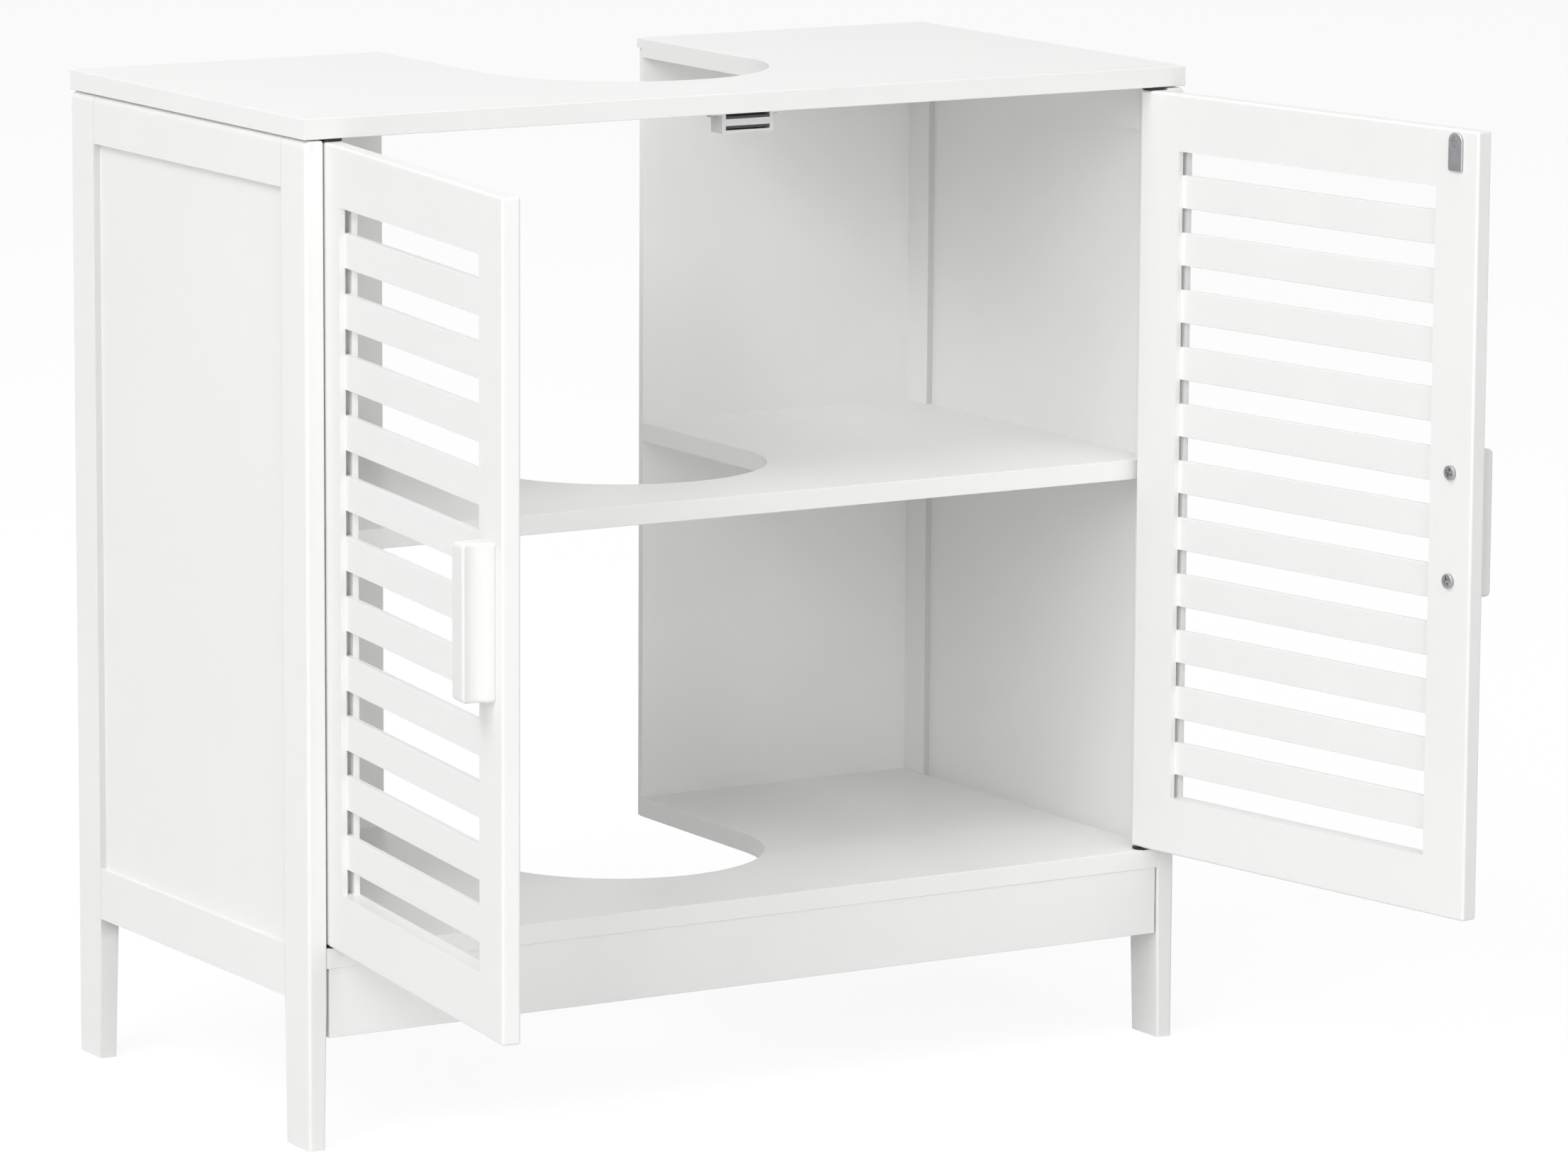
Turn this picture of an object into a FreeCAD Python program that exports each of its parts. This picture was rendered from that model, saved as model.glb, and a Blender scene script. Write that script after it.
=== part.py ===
import FreeCAD, Part
import os
from collections import namedtuple
from types import SimpleNamespace

import Sketcher

# A two-door sink base cabinet with slatted doors on pivot pins.
# X runs to the cabinet's right as seen from the front, Y from the front to the wall, Z up.
# The wall plane is Y = 0, the floor Z = 0 and the middle of the width X = 0. Millimetres, degrees.

os.makedirs("parts", exist_ok=True)
doc = FreeCAD.newDocument("sink_base_cabinet")
sheet = doc.addObject("Spreadsheet::Sheet", "sizes")

# ---- independent sizes, one cell each ----

sizeTable = dict(
    # the whole
    width=600,
    depth=300,
    height=600,
    # boards
    boardThick=12,
    boardEdge=0.5,
    topOverhang=0.5,
    topGap=0.8,
    cutHalf=91,
    cutCentre=134,
    shelfUnder=347,
    shelfSetBack=15,
    bottomUnder=107,
    # side frames
    legThick=12,
    legDepth=30,
    legEdge=1.5,
    frontTopEdge=2,
    outerTopEdge=4,
    taperTall=87,
    taperAcross=1.6,
    taperBack=2,
    topRailTall=28.7,
    bottomRailUnder=87,
    bottomRailTall=31,
    sidePanelThick=4,
    tongue=4.5,
    grooveSpare=0.5,
    # back panels
    backThick=5,
    backInset=6,
    backFreeEdge=92.5,
    rebateWide=8,
    # apron
    apronTall=41,
    apronThick=12,
    apronSetBack=0.5,
    apronEndGap=1.5,
    # doors
    doorThick=11,
    doorEdge=1.6,
    doorTopGap=1.8,
    doorBottomGap=1.5,
    hingeGap=2,
    centreGap=2,
    pivotToEdge=5,
    stileWide=34,
    doorRailTall=34.5,
    slatTall=20,
    slatThick=4,
    slatEdge=0.5,
    doorGroove=8,
    doorTongue=7.5,
    # pivots
    pinRadius=2.5,
    pinPlay=0.05,
    pinReach=6.5,
    topPinLong=30,
    bottomPinLong=20,
    bushRadius=4.5,
    bushDeep=8,
    bushFloor=0.5,
    flangeRadius=6.8,
    topFlange=1.6,
    bottomFlange=1.1,
    slotTall=8,
    slotWide=2.5,
    slotDrop=21,
    leverTall=2.5,
    leverWide=1.8,
    leverReach=4,
    # handles
    handleWide=19.2,
    handleEndWide=15.4,
    handleOut=18.6,
    handleTall=88,
    handleInset=19.5,
    scoopDeep=2.6,
    scoopRadius=9.7,
    scoopFromEnd=7.5,
    handleEnd=3.3,
    handleScrewInset=17,
    handleScrewSpan=64,
    handleScrewBite=11,
    # screws
    screwRadius=2,
    screwPlay=0.05,
    screwHead=4.3,
    screwHeadTall=2.4,
    screwHeadEdge=1.2,
    crossArm=2.2,
    crossHalf=0.5,
    crossDeep=1.4,
    # strike plates
    strikeWide=11,
    strikeTall=22.7,
    strikeThick=1.7,
    strikeDrop=1.6,
    strikeInset=17.5,
    strikeCorner=1.5,
    strikeHead=2.8,
    smallScrew=1.5,
    smallBite=9,
    smallCross=1.6,
    smallCrossHalf=0.35,
    # magnetic catch
    catchSetBack=12.9,
    catchWide=35,
    catchDeep=13,
    catchTall=13,
    catchEars=49,
    earThick=2.2,
    earEdge=2,
    earScrewAt=20.9,
    earScrewHead=3,
    earScrewHeadTall=1.7,
    windowWide=30,
    windowTall=9.6,
    windowDrop=1.7,
    windowDeep=10.5,
    upperSlot=3,
    lowerSlot=2.6,
    poleThick=1.6,
    poleBack=0.3,
    webThick=1.2,
    # cam fittings
    camSet=24,
    camRadius=5,
    camDeep=9.5,
    camSlotHalf=3.1,
    boltThread=2.5,
    boltBite=8.5,
    boltRadius=2,
    boltHead=3,
    boltHeadLong=2.5,
    boltHole=3.3,
    topBoltAt=10,
    shelfFrontBoltAt=22,
    rearBoltAt=15,
    bottomFrontBoltAt=19,
    bottomRearBoltAt=20,
    apronBoltInset=136,
    spacerRadius=4,
    # dowels
    dowelRadius=3,
    dowelHalf=10,
    dowelSpare=0.5,
    topRailDowelLow=11.5,
    topRailDowelStep=10,
    bottomRailDowelLow=7,
    bottomRailDowelStep=11,
    topDowelFront=90,
    topDowelRear=210,
    topDowelHalf=9,
    apronDowelInset=36,
    apronDowelHalf=9,
    # back panel screws
    backScrew=1.2,
    backScrewHead=2.4,
    backScrewHeadTall=1.2,
    backScrewBite=14,
    backScrewNear=27.5,
    backScrewFar=47.5,
    legScrewUp=111,
    legScrewDown=117.2,
    legScrewSide=4,
)

# How far each door stands open, in degrees.
angleTable = dict(leftOpen=97.6, rightOpen=99.5)

# How many slats each door has.
countTable = dict(slatCount=11)


# A length or angle that carries its number and the sheet formula that gives it.
class Size:
    def __init__(self, value, text):
        self.value = value
        self.text = text

    def __add__(self, other):
        other = asSize(other)
        return Size(self.value + other.value, f"({self.text} + {other.text})")

    def __sub__(self, other):
        other = asSize(other)
        return Size(self.value - other.value, f"({self.text} - {other.text})")

    def __mul__(self, other):
        other = asSize(other)
        return Size(self.value * other.value, f"({self.text} * {other.text})")

    def __truediv__(self, other):
        other = asSize(other)
        return Size(self.value / other.value, f"({self.text} / {other.text})")

    def __neg__(self):
        return self * -1

    def __radd__(self, other):
        return asSize(other) + self

    def __rsub__(self, other):
        return asSize(other) - self

    def __rmul__(self, other):
        return self * other


def asSize(number):
    return number if isinstance(number, Size) else Size(number, f"({number})")


lastRow = 0


# Adds one row to the sheet and returns the size that refers to it.
def addCell(name, value, content):
    global lastRow
    lastRow += 1
    sheet.set(f"A{lastRow}", name)
    sheet.set(f"B{lastRow}", content)
    sheet.setAlias(f"B{lastRow}", name)
    return Size(value, f"sizes.{name}")


s = SimpleNamespace()
for name, value in (sizeTable | angleTable | countTable).items():
    setattr(s, name, addCell(name, value, str(value)))


# Names a size that follows from others, as a formula cell.
def derive(name, size):
    setattr(s, name, addCell(name, size.value, "=" + size.text.replace("sizes.", "")))


derive("front", -s.depth)
derive("outer", s.width / 2 - s.topOverhang)
derive("inner", s.outer - s.legThick)
derive("topUnder", s.height - s.boardThick)
derive("frameTop", s.topUnder - s.topGap)
derive("frontLegBack", s.front + s.legDepth)
derive("frameMid", s.outer - s.legThick / 2)
derive("panelIn", s.frameMid - s.sidePanelThick / 2)
derive("panelOut", s.frameMid + s.sidePanelThick / 2)
derive("topRailUnder", s.frameTop - s.topRailTall)
derive("bottomRailTop", s.bottomRailUnder + s.bottomRailTall)
derive("grooveDeep", s.tongue + s.grooveSpare)
derive("bottomTop", s.bottomUnder + s.boardThick)
derive("shelfTop", s.shelfUnder + s.boardThick)
derive("shelfMid", s.shelfUnder + s.boardThick / 2)
derive("bottomMid", s.bottomUnder + s.boardThick / 2)
derive("backFront", -s.backInset)
derive("backRear", s.backThick - s.backInset)
derive("rebateOuter", s.inner + s.rebateWide)
derive("apronFront", s.front + s.apronSetBack)
derive("apronRear", s.apronFront + s.apronThick)
derive("apronUnder", s.bottomUnder - s.apronTall)
derive("apronMid", s.apronFront + s.apronThick / 2)
derive("doorLow", s.bottomTop + s.doorBottomGap)
derive("doorHigh", s.topUnder - s.doorTopGap)
derive("doorMid", (s.doorLow + s.doorHigh) / 2)
derive("doorWide", s.inner - s.hingeGap - s.centreGap / 2)
derive("pivotX", s.inner - s.hingeGap - s.pivotToEdge)
derive("pivotY", s.front + s.doorThick / 2)
derive("face", s.doorThick / 2)
derive("slatOpening", s.doorHigh - s.doorLow - s.doorRailTall * 2)
derive("slatGap", (s.slatOpening - s.slatCount * s.slatTall) / (s.slatCount + 1))
derive("pinHole", s.pinRadius + s.pinPlay)
derive("screwHole", s.screwRadius + s.screwPlay)
derive("smallHole", s.smallScrew + s.screwPlay)
derive("backHole", s.backScrew + s.screwPlay)
derive("threadHole", s.boltThread + s.screwPlay)
derive("catchFront", s.front + s.catchSetBack)
derive("windowTop", s.topUnder - s.windowDrop)
derive("windowLow", s.windowTop - s.windowTall)
derive("upperPoleLow", s.windowTop - s.upperSlot)
derive("lowerPoleTop", s.windowLow + s.lowerSlot)
doc.recompute()

# ---- drawing helpers ----

Disc = namedtuple("Disc", "u v radius")


# Gives a property its present value and the formula it follows.
def bind(target, path, size):
    target.setExpression(path, asSize(size).text)


def newBody(label):
    body = doc.addObject("PartDesign::Body", label)
    body.Label = label
    body.AllowCompound = True
    return body


def rect(u0, u1, v0, v1):
    return [(u0, v0), (u1, v0), (u1, v1), (u0, v1)]


# A plus sign with arms of the given reach and half width.
def plus(u, v, arm, half):
    quarter = [(arm, half), (half, half), (half, arm)]
    points = list(quarter)
    points += [(-b, a) for a, b in quarter]
    points += [(-a, -b) for a, b in quarter]
    points += [(b, -a) for a, b in quarter]
    return [(u + a, v + b) for a, b in points]


# Draws closed loops on one of the body's own planes, moved along the plane's normal to a level.
# Sketch directions are (x, y) on XY, (x, z) on XZ and (y, z) on YZ.
def sketchOn(body, plane, level, loops):
    support = [item for item in body.Origin.OriginFeatures if item.Role == plane + "_Plane"][0]
    sketch = body.newObject("Sketcher::SketchObject", "outline")
    sketch.AttachmentSupport = [(support, "")]
    sketch.MapMode = "FlatFace"
    bind(sketch, "AttachmentOffset.Base.z", -level if plane == "XZ" else level)
    for loop in loops:
        if isinstance(loop, Disc):
            drawDisc(sketch, loop)
        else:
            drawPolygon(sketch, loop)
    return sketch


def fixPoint(sketch, geometry, point, u, v):
    for kind, size in (("DistanceX", u), ("DistanceY", v)):
        size = asSize(size)
        constraint = Sketcher.Constraint(kind, -1, 1, geometry, point, size.value)
        index = sketch.addConstraint(constraint)
        sketch.setExpression(f"Constraints[{index}]", size.text)


def drawDisc(sketch, disc):
    radius = asSize(disc.radius)
    centre = FreeCAD.Vector(asSize(disc.u).value, asSize(disc.v).value, 0)
    circle = Part.Circle(centre, FreeCAD.Vector(0, 0, 1), radius.value)
    index = sketch.addGeometry(circle)
    fixPoint(sketch, index, 3, disc.u, disc.v)
    constraint = sketch.addConstraint(Sketcher.Constraint("Radius", index, radius.value))
    sketch.setExpression(f"Constraints[{constraint}]", radius.text)


def drawPolygon(sketch, points):
    corners = [FreeCAD.Vector(asSize(u).value, asSize(v).value, 0) for u, v in points]
    count = len(corners)
    lines = [Part.LineSegment(corners[i], corners[(i + 1) % count]) for i in range(count)]
    first = sketch.addGeometry(lines)[0]
    for i in range(count):
        following = first + (i + 1) % count
        sketch.addConstraint(Sketcher.Constraint("Coincident", first + i, 2, following, 1))
    for i, (u, v) in enumerate(points):
        fixPoint(sketch, first + i, 1, u, v)


# Adds material between two levels. The lower level comes first.
def prism(body, plane, low, high, loops):
    sketch = sketchOn(body, plane, high if plane == "XZ" else low, loops)
    pad = body.newObject("PartDesign::Pad", "prism")
    pad.Profile = sketch
    bind(pad, "Length", high - low)
    body.Tip = pad
    doc.recompute()
    if not 0 < body.Shape.Volume < 1e9:
        raise RuntimeError(body.Label + ": a prism fails")


# Takes material away between two levels. The lower level comes first.
def recess(body, plane, low, high, loops):
    before = body.Shape.Volume
    sketch = sketchOn(body, plane, low if plane == "XZ" else high, loops)
    pocket = body.newObject("PartDesign::Pocket", "recess")
    pocket.Profile = sketch
    bind(pocket, "Length", high - low)
    body.Tip = pocket
    doc.recompute()
    if not body.Shape.Volume < before - 0.01:
        raise RuntimeError(body.Label + ": a recess takes nothing away")


def near(number, size):
    return abs(number - asSize(size).value) < 0.001


# Rounds every edge whose ends all pass one of the tests.
def roundEdges(body, radius, *tests):
    base = body.Tip
    edges = []
    for number, edge in enumerate(base.Shape.Edges, 1):
        ends = [vertex.Point for vertex in edge.Vertexes]
        if any(all(test(end) for end in ends) for test in tests):
            edges.append(f"Edge{number}")
    if not edges:
        raise RuntimeError(body.Label + ": no edge to round")
    rounding = body.newObject("PartDesign::Fillet", "rounding")
    rounding.Base = (base, edges)
    bind(rounding, "Radius", radius)
    body.Tip = rounding
    doc.recompute()


# Orders two distances from the middle for the side they are on.
def span(side, inside, outside):
    return (inside, outside) if side > 0 else (-outside, -inside)


sides = {"left": -1, "right": 1}

# ---- cam joints, used by several pieces ----

topBolts = []
for side in sides.values():
    for along in (s.front + s.topBoltAt, -s.rearBoltAt):
        topBolts.append((side, along))

shelfBolts = (s.front + s.shelfFrontBoltAt, -s.rearBoltAt)
bottomBolts = (s.front + s.bottomFrontBoltAt, -s.bottomRearBoltAt)
apronEnd = s.inner - s.apronEndGap
apronBoltX = apronEnd - s.apronBoltInset
apronDowelX = apronEnd - s.apronDowelInset
apronBolts = (-apronBoltX, apronBoltX)
apronDowels = (-apronDowelX, asSize(0), apronDowelX)
topDowels = (s.front + s.topDowelFront, s.front + s.topDowelRear)
camX = s.inner - s.camSet
topCamZ = s.frameTop - s.camSet
apronCamZ = s.bottomUnder - s.camSet
backScrewX = (s.backFreeEdge + s.backScrewNear, s.inner - s.backScrewFar)
legScrewX = s.inner + s.legScrewSide
legScrewZ = (s.bottomTop + s.legScrewUp, s.frameTop - s.legScrewDown)
railDowels = []
for step in (0, 1):
    railDowels.append(s.topRailUnder + s.topRailDowelLow + s.topRailDowelStep * step)
for step in (0, 1):
    railDowels.append(s.bottomRailUnder + s.bottomRailDowelLow + s.bottomRailDowelStep * step)

# ---- boards ----


# The round end of the cut-out, its straight part being in the outline.
def roundCut(body, under):
    disc = Disc(0, -s.cutCentre, s.cutHalf)
    recess(body, "XY", under, under + s.boardThick, [disc])


# The outline points of the open-backed cut-out, right to left, for a board that ends at rear.
def cutPoints(rear):
    right = [(s.cutHalf, rear), (s.cutHalf, -s.cutCentre)]
    left = [(-s.cutHalf, -s.cutCentre), (-s.cutHalf, rear)]
    return right + left


half = s.width / 2
top = newBody("top_board")
outline = [(-half, s.front), (half, s.front), (half, 0)] + cutPoints(0) + [(-half, 0)]
prism(top, "XY", s.topUnder, s.height, [outline])
roundCut(top, s.topUnder)
rebates = []
for side in sides.values():
    rebates.append(rect(s.cutHalf * side, s.rebateOuter * side, s.backFront, 0))
recess(top, "XY", s.topUnder, s.topUnder + s.backInset, rebates)
bushHoles = [Disc(s.pivotX * side, s.pivotY, s.bushRadius) for side in sides.values()]
recess(top, "XY", s.topUnder, s.topUnder + s.bushDeep, bushHoles)
holes = [Disc(s.frameMid * side, along, s.threadHole) for side, along in topBolts]
recess(top, "XY", s.topUnder, s.topUnder + s.boltBite + s.dowelSpare, holes)
holes = []
for side in sides.values():
    for along in topDowels:
        holes.append(Disc(s.frameMid * side, along, s.dowelRadius))
recess(top, "XY", s.topUnder, s.topUnder + s.topDowelHalf + s.dowelSpare, holes)
earScrewY = s.catchFront + s.catchDeep / 2
holes = [Disc(s.earScrewAt * side, earScrewY, s.smallHole) for side in sides.values()]
recess(top, "XY", s.topUnder, s.topUnder + s.smallBite, holes)
roundEdges(
    top,
    s.boardEdge,
    lambda p: near(p.z, s.height) and near(p.y, s.front),
    lambda p: near(p.z, s.height) and near(abs(p.x), half),
    lambda p: near(p.z, s.topUnder) and near(p.y, s.front),
    lambda p: near(p.z, s.topUnder) and near(abs(p.x), half),
    lambda p: near(p.z, s.height) and near(p.y, 0),
    lambda p: near(p.z, s.height) and near(abs(p.x), s.cutHalf),
    lambda p: near(p.z, s.topUnder) and near(abs(p.x), s.cutHalf),
)


# Softens a board's front edges and the edges of its cut-out.
def softenBoard(body, front, under):
    tests = []
    for level in (under, under + s.boardThick):
        tests.append(lambda p, level=level: near(p.z, level) and near(p.y, front))
        tests.append(lambda p, level=level: near(p.z, level) and near(abs(p.x), s.cutHalf))
    roundEdges(body, s.boardEdge, *tests)


# Holes for cam bolts in a board's ends, for cam locks in its underside, for screws in its back.
def fitBoard(body, under, bolts):
    middle = under + s.boardThick / 2
    for side in sides.values():
        low, high = span(side, camX, s.inner)
        holes = [Disc(along, middle, s.boltHole) for along in bolts]
        recess(body, "YZ", low, high, holes)
    locks = []
    for side in sides.values():
        for along in bolts:
            locks.append(Disc(camX * side, along, s.camRadius))
    recess(body, "XY", under, under + s.camDeep, locks)
    holes = []
    for side in sides.values():
        for across in backScrewX:
            holes.append(Disc(across * side, middle, s.backHole))
    recess(body, "XZ", s.backFront - s.backScrewBite, s.backFront, holes)


shelf = newBody("shelf_board")
rightHalf = [
    (s.inner, s.front + s.shelfSetBack),
    (s.inner, s.frontLegBack),
    (s.panelIn, s.frontLegBack),
    (s.panelIn, -s.legDepth),
    (s.inner, -s.legDepth),
    (s.inner, s.backFront),
    (s.cutHalf, s.backFront),
    (s.cutHalf, -s.cutCentre),
]
leftHalf = [(-u, v) for u, v in reversed(rightHalf)]
prism(shelf, "XY", s.shelfUnder, s.shelfTop, [rightHalf + leftHalf])
roundCut(shelf, s.shelfUnder)
softenBoard(shelf, s.front + s.shelfSetBack, s.shelfUnder)
fitBoard(shelf, s.shelfUnder, shelfBolts)

bottom = newBody("bottom_board")
outline = [(-s.inner, s.front), (s.inner, s.front), (s.inner, s.backFront)]
outline += cutPoints(s.backFront) + [(-s.inner, s.backFront)]
prism(bottom, "XY", s.bottomUnder, s.bottomTop, [outline])
roundCut(bottom, s.bottomUnder)
softenBoard(bottom, s.front, s.bottomUnder)
fitBoard(bottom, s.bottomUnder, bottomBolts)
recess(bottom, "XY", s.bottomTop - s.bushDeep, s.bottomTop, bushHoles)
holes = [Disc(across, s.apronMid, s.threadHole) for across in apronBolts]
recess(bottom, "XY", s.bottomUnder, s.bottomUnder + s.boltBite + s.dowelSpare, holes)
holes = [Disc(across, s.apronMid, s.dowelRadius) for across in apronDowels]
recess(bottom, "XY", s.bottomUnder, s.bottomUnder + s.apronDowelHalf + s.dowelSpare, holes)

apron = newBody("front_apron")
panel = rect(-apronEnd, apronEnd, s.apronUnder, s.bottomUnder)
prism(apron, "XZ", s.apronFront, s.apronRear, [panel])
holes = [Disc(across, s.apronMid, s.boltHole) for across in apronBolts]
recess(apron, "XY", apronCamZ, s.bottomUnder, holes)
locks = [Disc(across, apronCamZ, s.camRadius) for across in apronBolts]
recess(apron, "XZ", s.apronRear - s.camDeep, s.apronRear, locks)
holes = [Disc(across, s.apronMid, s.dowelRadius) for across in apronDowels]
recess(apron, "XY", s.bottomUnder - s.apronDowelHalf - s.dowelSpare, s.bottomUnder, holes)
roundEdges(
    apron,
    s.boardEdge,
    lambda p: near(p.z, s.apronUnder) and near(p.y, s.apronFront),
    lambda p: near(p.z, s.apronUnder) and near(p.y, s.apronRear),
)

# ---- back panels ----

for name, side in sides.items():
    body = newBody(name + "_back_panel")
    backTop = s.topUnder + s.backInset - s.grooveSpare
    edge = s.rebateOuter - s.grooveSpare
    panel = rect(s.backFreeEdge * side, edge * side, s.bottomUnder, backTop)
    prism(body, "XZ", s.backFront, s.backRear, [panel])
    spots = []
    for across in backScrewX:
        spots += [(across * side, s.bottomMid), (across * side, s.shelfMid)]
    spots += [(legScrewX * side, level) for level in legScrewZ]
    holes = [Disc(u, v, s.backHole) for u, v in spots]
    recess(body, "XZ", s.backFront, s.backRear, holes)
    heads = [Disc(u, v, s.backScrewHead) for u, v in spots]
    recess(body, "XZ", s.backRear - s.backScrewHeadTall, s.backRear, heads)

# ---- side frames ----


# One leg. The reach is +1 for a front leg, whose inner face looks back, and -1 for a rear leg.
def makeLeg(label, side, outside, reach, shelfBolt, bottomBolt, topBolt):
    body = newBody(label)
    inside = outside + s.legDepth * reach
    low, high = span(side, s.inner, s.outer)
    foot = outside + (s.legDepth - s.taperBack) * reach
    profile = [(outside, 0), (foot, 0), (inside, s.taperTall)]
    profile += [(inside, s.frameTop), (outside, s.frameTop)]
    prism(body, "YZ", low, high, [profile])
    rear = reach < 0
    first, last = (inside, outside) if rear else (outside, inside)
    footIn = (s.inner + s.taperAcross) * side
    wedge = [(s.inner * side, 0), (footIn, 0), (s.inner * side, s.taperTall)]
    recess(body, "XZ", first, last, [wedge])
    # rounded outer edges, then the joints
    roundEdges(
        body,
        s.outerTopEdge,
        lambda p: near(p.z, s.frameTop) and near(p.x, s.outer * side),
    )
    if rear:
        roundEdges(
            body, s.legEdge, lambda p: near(p.y, outside) and near(p.x, s.outer * side)
        )
    else:
        roundEdges(body, s.frontTopEdge, lambda p: near(p.z, s.frameTop) and near(p.y, outside))
        roundEdges(
            body,
            s.legEdge,
            lambda p: near(p.y, outside) and near(p.x, s.outer * side),
            lambda p: near(p.y, outside) and near(p.x, s.inner * side),
        )
    groove = rect(s.panelIn * side, s.panelOut * side, inside, inside - s.grooveDeep * reach)
    grooveLow = s.bottomRailTop - s.grooveDeep
    recess(body, "XY", grooveLow, s.topRailUnder + s.grooveDeep, [groove])
    holes = [Disc(s.frameMid * side, level, s.dowelRadius) for level in railDowels]
    deep = s.dowelHalf + s.dowelSpare
    if rear:
        recess(body, "XZ", inside, inside + deep, holes)
        rebate = rect(s.inner * side, s.rebateOuter * side, s.backFront, 0)
        recess(body, "XY", s.bottomUnder - s.grooveSpare, s.frameTop, [rebate])
        screws = [Disc(legScrewX * side, level, s.backHole) for level in legScrewZ]
        recess(body, "XZ", s.backFront - s.backScrewBite, s.backFront, screws)
    else:
        recess(body, "XZ", inside - deep, inside, holes)
    low, high = span(side, s.inner, s.inner + s.boltBite + s.dowelSpare)
    threads = [Disc(shelfBolt, s.shelfMid, s.threadHole)]
    threads += [Disc(bottomBolt, s.bottomMid, s.threadHole)]
    recess(body, "YZ", low, high, threads)
    hole = Disc(s.frameMid * side, topBolt, s.boltHole)
    recess(body, "XY", topCamZ, s.frameTop, [hole])
    low, high = span(side, s.inner, s.inner + s.camDeep)
    recess(body, "YZ", low, high, [Disc(topBolt, topCamZ, s.camRadius)])


for name, side in sides.items():
    frontBolts = (shelfBolts[0], bottomBolts[0], s.front + s.topBoltAt)
    makeLeg(name + "_front_leg", side, s.front, 1, *frontBolts)
    rearBolts = (shelfBolts[1], bottomBolts[1], -s.rearBoltAt)
    makeLeg(name + "_rear_leg", side, asSize(0), -1, *rearBolts)

    low, high = span(side, s.inner, s.outer)
    deep = s.dowelHalf + s.dowelSpare
    rail = newBody(name + "_side_top_rail")
    block = rect(s.frontLegBack, -s.legDepth, s.topRailUnder, s.frameTop)
    prism(rail, "YZ", low, high, [block])
    roundEdges(
        rail, s.outerTopEdge, lambda p: near(p.z, s.frameTop) and near(p.x, s.outer * side)
    )
    groove = rect(s.panelIn * side, s.panelOut * side, s.frontLegBack, -s.legDepth)
    recess(rail, "XY", s.topRailUnder, s.topRailUnder + s.grooveDeep, [groove])
    holes = [Disc(s.frameMid * side, level, s.dowelRadius) for level in railDowels[:2]]
    recess(rail, "XZ", s.frontLegBack, s.frontLegBack + deep, holes)
    recess(rail, "XZ", -s.legDepth - deep, -s.legDepth, holes)
    holes = [Disc(s.frameMid * side, along, s.dowelRadius) for along in topDowels]
    recess(rail, "XY", s.frameTop - s.topDowelHalf - s.dowelSpare, s.frameTop, holes)

    rail = newBody(name + "_side_bottom_rail")
    block = rect(s.frontLegBack, -s.legDepth, s.bottomRailUnder, s.bottomRailTop)
    prism(rail, "YZ", low, high, [block])
    recess(rail, "XY", s.bottomRailTop - s.grooveDeep, s.bottomRailTop, [groove])
    holes = [Disc(s.frameMid * side, level, s.dowelRadius) for level in railDowels[2:]]
    recess(rail, "XZ", s.frontLegBack, s.frontLegBack + deep, holes)
    recess(rail, "XZ", -s.legDepth - deep, -s.legDepth, holes)

    panel = newBody(name + "_side_panel")
    low, high = span(side, s.panelIn, s.panelOut)
    front = s.frontLegBack - s.tongue
    rear = s.tongue - s.legDepth
    under = s.bottomRailTop - s.tongue
    over = s.topRailUnder + s.tongue
    prism(panel, "YZ", low, high, [rect(front, rear, under, over)])

# ---- dowels, cam fittings and back panel screws ----

dowels = newBody("rail_dowels")
holes = []
for side in sides.values():
    holes += [Disc(s.frameMid * side, level, s.dowelRadius) for level in railDowels]
for joint in (s.frontLegBack, -s.legDepth):
    prism(dowels, "XZ", joint - s.dowelHalf, joint + s.dowelHalf, holes)

dowels = newBody("top_dowels")
holes = []
for side in sides.values():
    holes += [Disc(s.frameMid * side, along, s.dowelRadius) for along in topDowels]
prism(dowels, "XY", s.frameTop - s.topDowelHalf, s.topUnder + s.topDowelHalf, holes)

dowels = newBody("apron_dowels")
holes = [Disc(across, s.apronMid, s.dowelRadius) for across in apronDowels]
low = s.bottomUnder - s.apronDowelHalf
prism(dowels, "XY", low, s.bottomUnder + s.apronDowelHalf, holes)

spacers = newBody("top_spacers")
rings = [Disc(s.frameMid * side, along, s.spacerRadius) for side, along in topBolts]
prism(spacers, "XY", s.frameTop, s.topUnder, rings)
holes = [Disc(s.frameMid * side, along, s.threadHole) for side, along in topBolts]
recess(spacers, "XY", s.frameTop, s.topUnder, holes)


# Bolts along one direction. The thread runs from the joint by +1 or -1, the head sits in the lock.
def addBolts(body, plane, joint, lock, bite, spots):
    parts = [(joint, joint + s.boltBite * bite, s.boltThread)]
    neck = lock + s.boltHeadLong * bite
    parts += [(neck, joint, s.boltRadius)]
    parts += [(lock, neck, s.boltHead)]
    for start, end, radius in parts:
        low, high = (start, end) if start.value < end.value else (end, start)
        prism(body, plane, low, high, [Disc(u, v, radius) for u, v in spots])


bolts = newBody("cam_bolts")
for side in sides.values():
    spots = [(along, s.shelfMid) for along in shelfBolts]
    spots += [(along, s.bottomMid) for along in bottomBolts]
    addBolts(bolts, "YZ", s.inner * side, camX * side, side, spots)
spots = [(s.frameMid * side, along) for side, along in topBolts]
addBolts(bolts, "XY", s.topUnder, topCamZ, 1, spots)
spots = [(across, s.apronMid) for across in apronBolts]
addBolts(bolts, "XY", s.bottomUnder, apronCamZ, 1, spots)

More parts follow.
